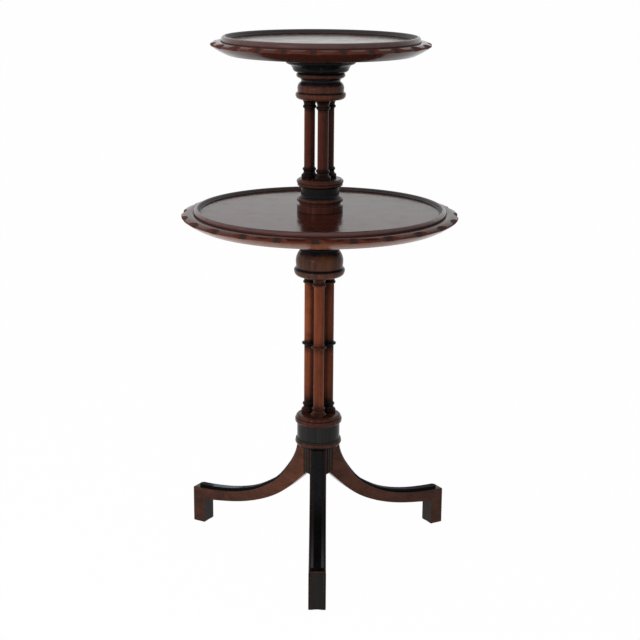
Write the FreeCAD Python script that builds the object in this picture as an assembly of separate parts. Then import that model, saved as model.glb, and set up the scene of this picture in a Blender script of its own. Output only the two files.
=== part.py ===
import FreeCAD, Part
import math
import os

# Two-tier dumbwaiter table on a tripod stand, with clusters of three turned columns.
# The origin is on the floor under the column, +Z is up and the front leg points to -Y.
# The lower tray and the whole upper stage each turn on a steel spindle fixed in the stand.
# Lengths are in millimetres and angles in degrees.

# Fits and tool allowances
RUN_GAP = 0.3
BORE_GAP = 0.05
OVERRUN = 2.0

# Legs, feet and their ebonised dressings
LEG_COUNT = 3
FRONT_ANGLE = -90.0
LEG_REACH = 306.5
LEG_WIDTH = 34.0
LEG_HEAD_REACH = 41.0
LEG_DEPTH_AT_FOOT = 25.0
LEG_DEPTH_AT_HUB = 68.0
LEG_EDGE_ROUND = 2.0
FOOT_HEIGHT = 79.1
FOOT_DEPTH = 28.2
FOOT_ARCH_RADIUS = 33.0
FOOT_ARCH_RISE = 1.8
FOOT_CHAMFER = 1.6
STRIP_WIDTH = 25.6
STRIP_HEIGHT = 4.8
STRIP_WALL = 1.6
STRIP_BEVEL = 5.0
STRIP_SETBACK = 8.5
FACING_WIDTH = 24.6
FACING_THICKNESS = 3.0

# Hub between the legs
HUB_FOOT = 172.6
HUB_HEIGHT = 58.0
HUB_RADIUS = 27.0
REEDS_PER_GAP = 3
REED_SHARE = 0.92
TENON_WIDTH = 12.0
TENON_DEPTH = 13.0
TENON_SHOULDER = 5.0
DROP_RADIUS = 24.5
DROP_HEIGHT = 11.0
CORE_RADIUS = 10.0
CORE_END = 10.0

# Turned members of the stand, from the legs upwards
COLLAR_RING_RADIUS = 42.0
COLLAR_RING_HEIGHT = 4.6
COLLAR_RADIUS = 48.5
COLLAR_HEIGHT = 8.2
DRUM_RADIUS = 44.1
DRUM_HEIGHT = 36.2
PLINTH_RADIUS = 48.4
PLINTH_HEIGHT = 19.1
LOWER_CAP_RADIUS = 51.2
LOWER_CAP_HEIGHT = 54.8
NECK_RADIUS = 47.4
NECK_HEIGHT = 18.0

# Columns
CLUSTER_RADIUS = 22.5
COLUMN_RADIUS = 10.8
COLUMN_BASE_RADIUS = 16.0
COLUMN_BASE_HEIGHT = 13.0
COLUMN_FOOT_RIM = 3.0
COLUMN_SHOULDER_RADIUS = 13.4
COLUMN_SHOULDER_HEIGHT = 8.5
CAPITAL_RADIUS = 17.2
CAPITAL_HEIGHT = 11.4
COLUMN_RING_RADIUS = 13.7
COLUMN_RING_HEIGHT = 6.4
COLUMN_NECK_RADIUS = 11.7
COLUMN_FILLET = 1.4
COLUMN_TENON_RADIUS = 6.5
COLUMN_TENON_LENGTH = 12.0
NODE_RADIUS = 15.6
NODE_HEIGHT = 5.0
NODE_COVE = 2.6
NODE_PLACE_SHARE = 0.505
LOWER_COLUMN_LENGTH = 293.7
UPPER_COLUMN_LENGTH = 157.6
UPPER_STAGE_TURN = 13.0

# Spindle, washers and bushes
SPINDLE_RADIUS = 10.5
SPINDLE_ROOT = 42.0
SHOULDER_RISE = 7.0
PIVOT_RADIUS = 8.0
PIVOT_LENGTH = 38.0
WASHER_THICKNESS = 1.5
TRAY_WASHER_RADIUS = 30.0
STAGE_WASHER_RADIUS = 11.0
BUSH_WALL = 4.0
UPPER_BUSH_LENGTH = 36.0
PIVOT_POCKET = 3.0

# Trays
LOWER_TRAY_RADIUS = 276.7
LOWER_TRAY_THICKNESS = 25.5
LOWER_EDGE_WIDTH = 24.7
LOWER_UNDER_WIDTH = 26.5
LOWER_RIM_CREST = 6.4
LOWER_BOSS_HEIGHT = 32.5
LOWER_TRAY_NOTCH_ANGLE = -1.7
UPPER_TRAY_RADIUS = 215.6
UPPER_TRAY_THICKNESS = 27.0
UPPER_EDGE_WIDTH = 21.6
UPPER_UNDER_WIDTH = 30.5
UPPER_RIM_CREST = 8.2
UPPER_BOSS_HEIGHT = 34.0
UPPER_TRAY_NOTCH_ANGLE = -3.7
BOSS_RADIUS = 72.0
RIM_WIDTH = 14.0
RIM_SIDE = 2.0
RIM_STEP = 1.4
RIM_COVE = 3.2
RIM_SEAT = 1.5
GROOVE_WIDTH = 1.5
GROOVE_DEPTH = 4.0
SLOPE_DROP = 2.4
NOSE_DROP = 6.0
NOSE_HEIGHT = 4.0
NOSE_ROUND = 0.8

# Gouge cuts that scallop the tray edges, with the tool leaning out from the upright
SCALLOP_COUNT = 24
GOUGE_RADIUS_SHARE = 0.24
GOUGE_REACH = 10.0
GOUGE_DROP = 2.8
GOUGE_LEAN = 46.0
GOUGE_LENGTH = 60.0

# Screws that hold each boss to its tray
SCREW_COUNT = 4
SCREW_RADIUS = 2.2
SCREW_HEAD_RADIUS = 4.4
SCREW_HEAD_HEIGHT = 3.0
SCREW_CIRCLE_RADIUS = 58.0
SCREW_GRIP = 9.0
SCREW_BITE = 12.0

# Pedestal that carries the upper columns
PEDESTAL_DRUM_RADIUS = 46.0
PEDESTAL_DRUM_HEIGHT = 18.8
PEDESTAL_RING_RADIUS = 45.6
PEDESTAL_RING_HEIGHT = 8.7
PEDESTAL_NECK_RADIUS = 44.0
PEDESTAL_NECK_HEIGHT = 23.0
PEDESTAL_TOP_RADIUS = 46.8
PEDESTAL_TOP_HEIGHT = 14.7
UPPER_CAP_RADIUS = 49.5
UPPER_CAP_HEIGHT = 34.4
STAGE_CORE_RADIUS = 11.0
STAGE_CORE_ROOT = 16.0
STAGE_CORE_HEAD = 14.0

# Outlines: radius share, height share and the bow of the stretch that ends there,
# as a share of its length. A positive bow swells and a negative one hollows.
QUARTER_BOW_SHARE = 0.207
CAPITAL_BOW_SHARE = -0.12
NODE_BOW_SHARE = -0.15
UNDER_BOW_SHARE = 0.03
SLOPE_BOW_SHARE = 0.08
COLLAR_RING_SHARES = [(0.97, 0.0, 0), (0.97, 1.0, 0.35)]
COLLAR_SHARES = [(0.93, 0.0, 0), (0.95, 1.0, 0.28)]
PLAIN_SHARES = [(1.0, 0.0, 0), (1.0, 1.0, 0)]
DRUM_SHARES = [(1.045, 0.0, 0), (1.045, 0.085, 0.3), (1.0, 0.092, 0), (1.0, 1.0, 0)]
PLINTH_SHARES = [(0.925, 0.0, 0), (0.935, 0.05, 0), (1.0, 0.28, 0.15), (1.0, 0.50, 0),
                 (0.95, 0.63, 0.15), (0.92, 0.64, 0), (0.92, 0.68, 0), (0.96, 0.69, 0),
                 (0.96, 0.73, 0), (0.835, 1.0, 0.17)]
LOWER_CAP_SHARES = [(0.86, 0.0, 0), (1.0, 0.168, 0.15), (0.945, 0.307, 0.2), (0.925, 0.325, 0),
                    (0.935, 0.46, 0), (0.80, 0.93, 0.10), (0.745, 1.0, 0.1)]
NECK_SHARES = [(0.81, 0.0, 0), (0.915, 0.36, -0.12), (0.95, 0.40, 0), (0.97, 0.90, 0.3),
               (0.93, 1.0, 0)]
BOSS_SHARES = [(0.66, 0.0, 0), (0.77, 0.20, 0.2), (0.79, 0.28, 0), (0.90, 0.45, -0.12),
               (0.97, 0.62, 0.15), (1.0, 0.66, 0), (1.0, 1.0, 0)]
PEDESTAL_DRUM_SHARES = [(1.0, 0.0, 0), (1.0, 0.65, 0), (0.97, 0.715, 0.2), (0.905, 0.725, 0),
                        (0.905, 1.0, 0)]
PEDESTAL_RING_SHARES = [(0.94, 0.0, 0), (0.96, 1.0, 0.36)]
PEDESTAL_NECK_SHARES = [(0.975, 0.0, 0), (0.955, 0.08, 0), (0.87, 0.27, -0.12), (0.86, 0.90, 0),
                        (0.88, 1.0, -0.1)]
PEDESTAL_TOP_SHARES = [(0.87, 0.0, 0), (0.97, 0.20, 0.2), (0.97, 0.36, 0), (0.945, 0.40, 0),
                       (0.96, 0.44, 0), (1.0, 0.54, 0.2), (1.0, 0.72, 0), (0.945, 0.86, 0.2),
                       (0.925, 0.87, 0), (0.925, 0.96, 0), (0.90, 1.0, 0.2)]
UPPER_CAP_SHARES = [(0.89, 0.0, 0), (1.0, 0.21, 0.16), (0.945, 0.38, 0.2), (0.92, 0.41, 0),
                    (0.93, 0.59, 0), (0.80, 0.97, 0.13), (0.776, 1.0, 0)]
DROP_SHARES = [(0.30, 0.0, 0), (0.80, 0.38, 0.2), (0.86, 0.44, 0), (1.0, 1.0, 0.12)]
# Leg curves: shares of the way out along the leg, and of the height between its ends
LEG_TOP_SHARES = [(0.0, 1.0), (0.046, 0.736), (0.106, 0.575), (0.189, 0.405), (0.285, 0.283),
                  (0.406, 0.168), (0.54, 0.088), (0.715, 0.030), (1.0, 0.0)]
LEG_UNDER_SHARES = [(0.0, 1.0), (0.095, 0.785), (0.223, 0.535), (0.45, 0.262), (0.668, 0.115),
                    (0.853, 0.045), (1.0, 0.0)]

# Heights of the joints between members
HUB_TOP = HUB_FOOT + HUB_HEIGHT
COLLAR_FOOT = HUB_TOP + COLLAR_RING_HEIGHT
DRUM_FOOT = COLLAR_FOOT + COLLAR_HEIGHT
PLINTH_FOOT = DRUM_FOOT + DRUM_HEIGHT
LOWER_COLUMN_FOOT = PLINTH_FOOT + PLINTH_HEIGHT
LOWER_CAP_FOOT = LOWER_COLUMN_FOOT + LOWER_COLUMN_LENGTH
NECK_FOOT = LOWER_CAP_FOOT + LOWER_CAP_HEIGHT
TRAY_WASHER_FOOT = NECK_FOOT + NECK_HEIGHT
LOWER_BOSS_FOOT = TRAY_WASHER_FOOT + WASHER_THICKNESS + RUN_GAP
LOWER_TRAY_FOOT = LOWER_BOSS_FOOT + LOWER_BOSS_HEIGHT
LOWER_TRAY_TOP = LOWER_TRAY_FOOT + LOWER_TRAY_THICKNESS
PEDESTAL_FOOT = LOWER_TRAY_TOP + RUN_GAP
PEDESTAL_RING_FOOT = PEDESTAL_FOOT + PEDESTAL_DRUM_HEIGHT
PEDESTAL_NECK_FOOT = PEDESTAL_RING_FOOT + PEDESTAL_RING_HEIGHT
PEDESTAL_TOP_FOOT = PEDESTAL_NECK_FOOT + PEDESTAL_NECK_HEIGHT
UPPER_COLUMN_FOOT = PEDESTAL_TOP_FOOT + PEDESTAL_TOP_HEIGHT
UPPER_CAP_FOOT = UPPER_COLUMN_FOOT + UPPER_COLUMN_LENGTH
UPPER_NECK_FOOT = UPPER_CAP_FOOT + UPPER_CAP_HEIGHT
UPPER_BOSS_FOOT = UPPER_NECK_FOOT + NECK_HEIGHT
UPPER_TRAY_FOOT = UPPER_BOSS_FOOT + UPPER_BOSS_HEIGHT
UPPER_TRAY_TOP = UPPER_TRAY_FOOT + UPPER_TRAY_THICKNESS
SHOULDER = PEDESTAL_FOOT + SHOULDER_RISE
UPPER_BUSH_FOOT = SHOULDER + WASHER_THICKNESS + RUN_GAP

# Places of the rims on their trays
LOWER_RIM_RADIUS = LOWER_TRAY_RADIUS - LOWER_EDGE_WIDTH
UPPER_RIM_RADIUS = UPPER_TRAY_RADIUS - UPPER_EDGE_WIDTH

ORIGIN = FreeCAD.Vector(0, 0, 0)
UP = FreeCAD.Vector(0, 0, 1)
pieces = {}


def stretch(start, end):
    """One straight or bowed edge of an outline in the XZ plane."""
    first = FreeCAD.Vector(start[0], 0, start[1])
    last = FreeCAD.Vector(end[0], 0, end[1])
    bow = end[2] if len(end) > 2 else 0
    if bow == 0:
        return Part.LineSegment(first, last).toShape()
    along = last - first
    middle = (first + last) * 0.5 + FreeCAD.Vector(along.z, 0, -along.x) * bow
    return Part.Arc(first, middle, last).toShape()


def turned(points):
    """A solid of revolution about the column axis, from (radius, height, bow) points."""
    edges = [stretch(start, end) for start, end in zip(points, points[1:] + points[:1])]
    return Part.Face(Part.Wire(edges)).revolve(ORIGIN, UP, 360)


def moulding(shares, radius, foot, height):
    """A turned member with the outline of a table of shares."""
    side = [(radius * out, foot + height * rise, bow) for out, rise, bow in shares]
    return turned([(0, foot)] + side + [(0, foot + height)])


def rod(radius, foot, height, out=0, angle=0):
    """An upright round bar, on the axis or at a place around it."""
    place = FreeCAD.Vector(out, 0, foot)
    return around(Part.makeCylinder(radius, height, place, UP), angle)


def around(shape, angle):
    """A copy of the shape, turned about the column axis."""
    copy = shape.copy()
    copy.rotate(ORIGIN, UP, angle)
    return copy


def leg_angles(turn=0):
    """The three directions that the legs and the columns share."""
    return [FRONT_ANGLE + turn + 360.0 * step / LEG_COUNT for step in range(LEG_COUNT)]


def keep(name, shape):
    """Keeps a finished piece under its name."""
    pieces[name] = shape.removeSplitter() if len(shape.Solids) == 1 else shape


def leg_curve(shares, inner, outer, low, high):
    """A smooth curve through shares of the way from the inner end to the outer one."""
    points = []
    for out, rise in shares:
        points.append(FreeCAD.Vector(inner + out * (outer - inner), 0, low + rise * (high - low)))
    curve = Part.BSplineCurve()
    curve.interpolate(points)
    return curve


def leg_top_curve():
    return leg_curve(LEG_TOP_SHARES, LEG_HEAD_REACH, LEG_REACH, FOOT_HEIGHT, HUB_TOP)


def leg_tenon():
    """The tongue that holds a leg in the hub."""
    inner = HUB_RADIUS - TENON_DEPTH
    height = HUB_HEIGHT - 2 * TENON_SHOULDER
    corner = FreeCAD.Vector(inner, -TENON_WIDTH / 2, HUB_FOOT + TENON_SHOULDER)
    return Part.makeBox(TENON_DEPTH + OVERRUN, TENON_WIDTH, height, corner)


def foot_facing():
    """The ebonised board let into the outer face of a foot."""
    corner = FreeCAD.Vector(LEG_REACH - FACING_THICKNESS, -FACING_WIDTH / 2, 0)
    return Part.makeBox(FACING_THICKNESS, FACING_WIDTH, FOOT_HEIGHT, corner)


def foot_arch():
    """The shallow arch cut through the underside of a foot."""
    low = FOOT_ARCH_RISE - FOOT_ARCH_RADIUS
    start = FreeCAD.Vector(LEG_REACH - FOOT_DEPTH - OVERRUN, 0, low)
    length = FOOT_DEPTH + 2 * OVERRUN
    return Part.makeCylinder(FOOT_ARCH_RADIUS, length, start, FreeCAD.Vector(1, 0, 0))


def leg_and_facing():
    """A sabre leg with its foot block, drawn along +X, and the ebonised facing of its foot."""
    root = HUB_RADIUS - OVERRUN
    under_head = HUB_TOP - LEG_DEPTH_AT_HUB
    foot_inner = LEG_REACH - FOOT_DEPTH
    under_foot = FOOT_HEIGHT - LEG_DEPTH_AT_FOOT
    under = leg_curve(LEG_UNDER_SHARES, root, foot_inner, under_foot, under_head)
    edges = [
        stretch((root, under_head), (root, HUB_TOP)),
        stretch((root, HUB_TOP), (LEG_HEAD_REACH, HUB_TOP)),
        leg_top_curve().toShape(),
        stretch((LEG_REACH, FOOT_HEIGHT), (LEG_REACH, 0)),
        stretch((LEG_REACH, 0), (foot_inner, 0)),
        stretch((foot_inner, 0), (foot_inner, under_foot)),
        under.toShape(),
    ]
    face = Part.Face(Part.Wire(Part.__sortEdges__(edges)))
    face.translate(FreeCAD.Vector(0, -LEG_WIDTH / 2, 0))
    body = face.extrude(FreeCAD.Vector(0, LEG_WIDTH, 0))
    body = body.makeFillet(LEG_EDGE_ROUND, long_leg_edges(body))
    body = body.makeChamfer(FOOT_CHAMFER, [e for e in body.Edges if e.BoundBox.ZMax < BORE_GAP])
    body = body.cut(rod(HUB_RADIUS, 0, HUB_TOP + OVERRUN))
    body = body.fuse(leg_tenon()).cut(foot_arch())
    return body.cut(foot_facing()), body.common(foot_facing())


def long_leg_edges(body):
    """The upper and lower curved edges of a leg's two sides."""
    side = LEG_WIDTH / 2
    found = []
    for edge in body.Edges:
        box = edge.BoundBox
        on_side = abs(abs(box.Center.y) - side) < LEG_EDGE_ROUND and box.YLength < LEG_EDGE_ROUND
        if on_side and box.XLength > LEG_REACH / 2:
            found.append(edge)
    return found


def leg_strip():
    """The ebonised strip with bevelled edges that runs down the top of a leg."""
    curve = leg_top_curve()
    path = Part.Wire(curve.toShape())
    start = curve.value(curve.FirstParameter)
    along = FreeCAD.Vector(*curve.tangent(curve.FirstParameter)[0])
    across = FreeCAD.Vector(0, STRIP_WIDTH / 2, 0)
    out = FreeCAD.Vector(-along.z, 0, along.x).normalize()
    low_left = start - across
    low_right = start + across
    high_left = low_left + out * STRIP_WALL
    high_right = low_right + out * STRIP_WALL
    flat = FreeCAD.Vector(0, STRIP_WIDTH / 2 - STRIP_BEVEL, 0)
    crest = start + out * STRIP_HEIGHT
    corners = [low_left, low_right, high_right, crest + flat, crest - flat, high_left, low_left]
    section = Part.makePolygon(corners)
    swept = path.makePipeShell([section], True, False)
    end = LEG_REACH - STRIP_SETBACK
    nose = end - STRIP_WIDTH / 2
    plan = Part.makeCylinder(STRIP_WIDTH / 2, HUB_TOP, FreeCAD.Vector(nose, 0, 0), UP)
    corner = FreeCAD.Vector(0, -STRIP_WIDTH, 0)
    plan = plan.fuse(Part.makeBox(nose, 2 * STRIP_WIDTH, HUB_TOP, corner))
    return swept.common(plan)


def stand_core():
    """The dowel that strings the stand's lower members together."""
    foot = HUB_FOOT + CORE_END
    return rod(CORE_RADIUS, foot, LOWER_COLUMN_FOOT - CORE_END - foot)


def hub():
    """The block between the legs, reeded where it shows and mortised for the leg tenons."""
    body = moulding(PLAIN_SHARES, HUB_RADIUS, HUB_FOOT, HUB_HEIGHT)
    half_leg = math.degrees(math.asin(LEG_WIDTH / 2 / HUB_RADIUS))
    gap = 360.0 / LEG_COUNT - 2 * half_leg
    pitch = gap / REEDS_PER_GAP
    reed_radius = REED_SHARE * HUB_RADIUS * math.sin(math.radians(pitch / 2))
    for angle in leg_angles():
        for step in range(REEDS_PER_GAP):
            place = angle + half_leg + pitch * (step + 0.5)
            body = body.fuse(rod(reed_radius, HUB_FOOT, HUB_HEIGHT, HUB_RADIUS, place))
    for angle in leg_angles():
        body = body.cut(around(leg_tenon(), angle))
    return body.cut(stand_core())


def make_stand_base():
    """Legs, hub and the turned members under the lower columns."""
    names = ["front", "rear_right", "rear_left"]
    for name, angle in zip(names, leg_angles()):
        leg, facing = leg_and_facing()
        keep("leg_" + name, around(leg, angle))
        keep("leg_strip_" + name, around(leg_strip(), angle))
        keep("foot_facing_" + name, around(facing, angle))
    keep("hub", hub())
    keep("hub_drop", moulding(DROP_SHARES, DROP_RADIUS, HUB_FOOT - DROP_HEIGHT, DROP_HEIGHT))
    core = stand_core()
    keep("stand_core_dowel", core)
    ring = moulding(COLLAR_RING_SHARES, COLLAR_RING_RADIUS, HUB_TOP, COLLAR_RING_HEIGHT)
    keep("collar_ring", ring.cut(core))
    collar = moulding(COLLAR_SHARES, COLLAR_RADIUS, COLLAR_FOOT, COLLAR_HEIGHT)
    keep("base_collar", collar.cut(core))
    keep("base_drum", moulding(DRUM_SHARES, DRUM_RADIUS, DRUM_FOOT, DRUM_HEIGHT).cut(core))
    plinth = moulding(PLINTH_SHARES, PLINTH_RADIUS, PLINTH_FOOT, PLINTH_HEIGHT)
    sockets = column_sockets(LOWER_COLUMN_FOOT - COLUMN_TENON_LENGTH)
    keep("base_plinth", plinth.cut(core).cut(sockets))


def column_sockets(foot, turn=0):
    """The holes for one end of a cluster's tenons."""
    bars = []
    for angle in leg_angles(turn):
        bars.append(rod(COLUMN_TENON_RADIUS, foot, COLUMN_TENON_LENGTH, CLUSTER_RADIUS, angle))
    return Part.makeCompound(bars)


def ring_points(inner, crest, foot, height):
    """A round bead between two heights, on a neck of the inner radius."""
    return [(inner, foot), (inner, foot + height, (crest - inner) / height)]


def column(foot, length, angle, has_node):
    """A turned column with its base, rings and flared capital, and a tenon at each end."""
    top = foot + length
    base_top = foot + COLUMN_BASE_HEIGHT
    rim = COLUMN_FILLET
    low_ring = base_top + rim
    capital_foot = top - CAPITAL_HEIGHT
    high_ring = capital_foot - rim - COLUMN_RING_HEIGHT
    points = [(0, foot - COLUMN_TENON_LENGTH), (COLUMN_TENON_RADIUS, foot - COLUMN_TENON_LENGTH)]
    points += [(COLUMN_TENON_RADIUS, foot), (COLUMN_BASE_RADIUS, foot)]
    points += [(COLUMN_BASE_RADIUS, foot + COLUMN_FOOT_RIM)]
    points += [(COLUMN_SHOULDER_RADIUS, foot + COLUMN_SHOULDER_HEIGHT, QUARTER_BOW_SHARE)]
    points += [(COLUMN_NECK_RADIUS, base_top, -QUARTER_BOW_SHARE / 2)]
    points += ring_points(COLUMN_NECK_RADIUS, COLUMN_RING_RADIUS, low_ring, COLUMN_RING_HEIGHT)
    points += [(COLUMN_RADIUS, low_ring + COLUMN_RING_HEIGHT + rim)]
    if has_node:
        middle = foot + length * NODE_PLACE_SHARE
        half = NODE_HEIGHT / 2
        cove = middle - half - NODE_COVE
        neck = COLUMN_NECK_RADIUS
        points += [(COLUMN_RADIUS, cove), (neck + NODE_COVE / 2, middle - half, NODE_BOW_SHARE)]
        swell = (NODE_RADIUS - neck - NODE_COVE / 2) / NODE_HEIGHT
        points += [(neck + NODE_COVE / 2, middle + half, swell)]
        points += [(COLUMN_RADIUS, middle + half + NODE_COVE, NODE_BOW_SHARE)]
    points += [(COLUMN_RADIUS, high_ring - rim)]
    points += ring_points(COLUMN_NECK_RADIUS, COLUMN_RING_RADIUS, high_ring, COLUMN_RING_HEIGHT)
    points += [(COLUMN_NECK_RADIUS, capital_foot)]
    points += [(CAPITAL_RADIUS, top - rim, CAPITAL_BOW_SHARE), (CAPITAL_RADIUS, top)]
    points += [(COLUMN_TENON_RADIUS, top), (COLUMN_TENON_RADIUS, top + COLUMN_TENON_LENGTH)]
    points += [(0, top + COLUMN_TENON_LENGTH)]
    body = turned(points)
    body.translate(FreeCAD.Vector(CLUSTER_RADIUS, 0, 0))
    return around(body, angle)


def spindle():
    """The steel post that both turning parts run on."""
    root = NECK_FOOT - SPINDLE_ROOT
    post = rod(SPINDLE_RADIUS, root, SHOULDER - root)
    return post.fuse(rod(PIVOT_RADIUS, SHOULDER, PIVOT_LENGTH))


def make_stand_top():
    """Lower columns, their cap, and the spindle with its washers."""
    names = ["front", "rear_right", "rear_left"]
    for name, angle in zip(names, leg_angles()):
        shape = column(LOWER_COLUMN_FOOT, LOWER_COLUMN_LENGTH, angle, True)
        keep("lower_column_" + name, shape)
    post = spindle()
    keep("spindle", post)
    cap = moulding(LOWER_CAP_SHARES, LOWER_CAP_RADIUS, LOWER_CAP_FOOT, LOWER_CAP_HEIGHT)
    keep("lower_cap", cap.cut(column_sockets(LOWER_CAP_FOOT)).cut(post))
    keep("lower_neck_ring", moulding(NECK_SHARES, NECK_RADIUS, NECK_FOOT, NECK_HEIGHT).cut(post))
    washer = rod(TRAY_WASHER_RADIUS, TRAY_WASHER_FOOT, WASHER_THICKNESS)
    keep("tray_thrust_washer", washer.cut(post))
    washer = rod(STAGE_WASHER_RADIUS, SHOULDER, WASHER_THICKNESS)
    keep("stage_thrust_washer", washer.cut(post))


def gouge(radius, top):
    """The tool that scoops one scallop out of a tray's edge, leaning out as it goes down."""
    lean = math.radians(GOUGE_LEAN)
    down = FreeCAD.Vector(math.sin(lean), 0, -math.cos(lean))
    away = FreeCAD.Vector(math.cos(lean), 0, math.sin(lean))
    size = GOUGE_RADIUS_SHARE * radius
    deepest = FreeCAD.Vector(radius - GOUGE_REACH, 0, top - GOUGE_DROP)
    start = deepest + away * size - down * (GOUGE_LENGTH / 2)
    return Part.makeCylinder(size, GOUGE_LENGTH, start, down)


def tray_board(radius, rim_radius, foot, top, under_width, notch_angle):
    """A round tray with a moulded edge, carved into scallops by a ring of gouge cuts."""
    nose_top = top - NOSE_DROP
    nose_foot = nose_top - NOSE_HEIGHT
    nose_in = radius - NOSE_ROUND
    groove = rim_radius + GROOVE_WIDTH
    inner = rim_radius - RIM_WIDTH
    body = turned([
        (0, foot),
        (radius - under_width, foot),
        (nose_in, nose_foot, UNDER_BOW_SHARE),
        (nose_in, nose_top, NOSE_ROUND / NOSE_HEIGHT),
        (groove, top - SLOPE_DROP, SLOPE_BOW_SHARE),
        (groove, top - GROOVE_DEPTH),
        (rim_radius, top - GROOVE_DEPTH),
        (rim_radius, top - RIM_SEAT),
        (inner, top - RIM_SEAT),
        (inner, top),
        (0, top),
    ])
    tool = gouge(radius, top)
    for step in range(SCALLOP_COUNT):
        angle = FRONT_ANGLE + notch_angle + 360.0 * step / SCALLOP_COUNT
        body = body.cut(around(tool, angle))
    return body


def tray_rim(rim_radius, top, crest):
    """The raised moulding that keeps things on the tray, let into a rabbet."""
    inner = rim_radius - RIM_WIDTH
    shoulder = inner + RIM_COVE
    chord = math.hypot(rim_radius - shoulder, RIM_COVE + RIM_STEP - RIM_SIDE)
    rise = crest - (RIM_SIDE + RIM_COVE + RIM_STEP) / 2
    return turned([
        (inner, top - RIM_SEAT),
        (rim_radius, top - RIM_SEAT),
        (rim_radius, top + RIM_SIDE),
        (shoulder, top + RIM_STEP + RIM_COVE, rise / chord),
        (inner, top + RIM_STEP, -QUARTER_BOW_SHARE),
    ])


def screw_bars(radius, foot, height):
    """Upright bars on the screw circle."""
    bars = []
    for step in range(SCREW_COUNT):
        angle = 360.0 * step / SCREW_COUNT
        bars.append(rod(radius, foot, height, SCREW_CIRCLE_RADIUS, angle))
    return bars


def screws(tray_foot):
    """The screws that go up through a boss into its tray."""
    head_foot = tray_foot - SCREW_GRIP - SCREW_HEAD_HEIGHT
    heads = screw_bars(SCREW_HEAD_RADIUS, head_foot, SCREW_HEAD_HEIGHT)
    length = SCREW_HEAD_HEIGHT + SCREW_GRIP + SCREW_BITE
    shanks = screw_bars(SCREW_RADIUS, head_foot, length)
    return Part.makeCompound([head.fuse(shank) for head, shank in zip(heads, shanks)])


def boss(foot, height):
    """The stepped block under a tray, with its screw holes."""
    body = moulding(BOSS_SHARES, BOSS_RADIUS, foot, height)
    top = foot + height
    head_top = top - SCREW_GRIP
    pockets = screw_bars(SCREW_HEAD_RADIUS, foot, head_top - foot)
    holes = screw_bars(SCREW_RADIUS, foot, height + OVERRUN)
    return body.cut(Part.makeCompound(pockets)).cut(Part.makeCompound(holes))


def make_lower_tray():
    """The lower tray, its boss and the brass bush that turns on the spindle."""
    bore = SPINDLE_RADIUS + BORE_GAP
    length = LOWER_TRAY_TOP - LOWER_BOSS_FOOT
    solid_bush = rod(bore + BUSH_WALL, LOWER_BOSS_FOOT, length)
    hole = rod(bore, LOWER_BOSS_FOOT - OVERRUN, length + 2 * OVERRUN)
    keep("lower_tray_bush", solid_bush.cut(hole))
    fixings = screws(LOWER_TRAY_FOOT)
    keep("lower_tray_screws", fixings)
    keep("lower_tray_boss", boss(LOWER_BOSS_FOOT, LOWER_BOSS_HEIGHT).cut(solid_bush))
    board = tray_board(LOWER_TRAY_RADIUS, LOWER_RIM_RADIUS, LOWER_TRAY_FOOT, LOWER_TRAY_TOP,
                       LOWER_UNDER_WIDTH, LOWER_TRAY_NOTCH_ANGLE)
    keep("lower_tray_board", board.cut(solid_bush).cut(fixings))
    keep("lower_tray_rim", tray_rim(LOWER_RIM_RADIUS, LOWER_TRAY_TOP, LOWER_RIM_CREST))


def make_pedestal():
    """The turned foot of the upper stage, bored for its bush."""
    bore = PIVOT_RADIUS + BORE_GAP
    bush = rod(bore + BUSH_WALL, UPPER_BUSH_FOOT, UPPER_BUSH_LENGTH)
    below = UPPER_BUSH_FOOT - PEDESTAL_FOOT
    hollow = rod(bore + BUSH_WALL, PEDESTAL_FOOT - OVERRUN, below + OVERRUN)
    well = rod(PIVOT_RADIUS + BUSH_WALL / 2, UPPER_BUSH_FOOT, PIVOT_LENGTH + PIVOT_POCKET)
    keep("stage_bush", bush.cut(rod(bore, UPPER_BUSH_FOOT - OVERRUN, PIVOT_LENGTH + PIVOT_POCKET)))
    members = [
        ("pedestal_drum", PEDESTAL_DRUM_SHARES, PEDESTAL_DRUM_RADIUS, PEDESTAL_FOOT,
         PEDESTAL_DRUM_HEIGHT),
        ("pedestal_ring", PEDESTAL_RING_SHARES, PEDESTAL_RING_RADIUS, PEDESTAL_RING_FOOT,
         PEDESTAL_RING_HEIGHT),
        ("pedestal_neck", PEDESTAL_NECK_SHARES, PEDESTAL_NECK_RADIUS, PEDESTAL_NECK_FOOT,
         PEDESTAL_NECK_HEIGHT),
        ("pedestal_top", PEDESTAL_TOP_SHARES, PEDESTAL_TOP_RADIUS, PEDESTAL_TOP_FOOT,
         PEDESTAL_TOP_HEIGHT),
    ]
    sockets = column_sockets(UPPER_COLUMN_FOOT - COLUMN_TENON_LENGTH, UPPER_STAGE_TURN)
    for name, shares, radius, foot, height in members:
        body = moulding(shares, radius, foot, height)
        keep(name, body.cut(bush).cut(hollow).cut(well).cut(sockets))


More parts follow.
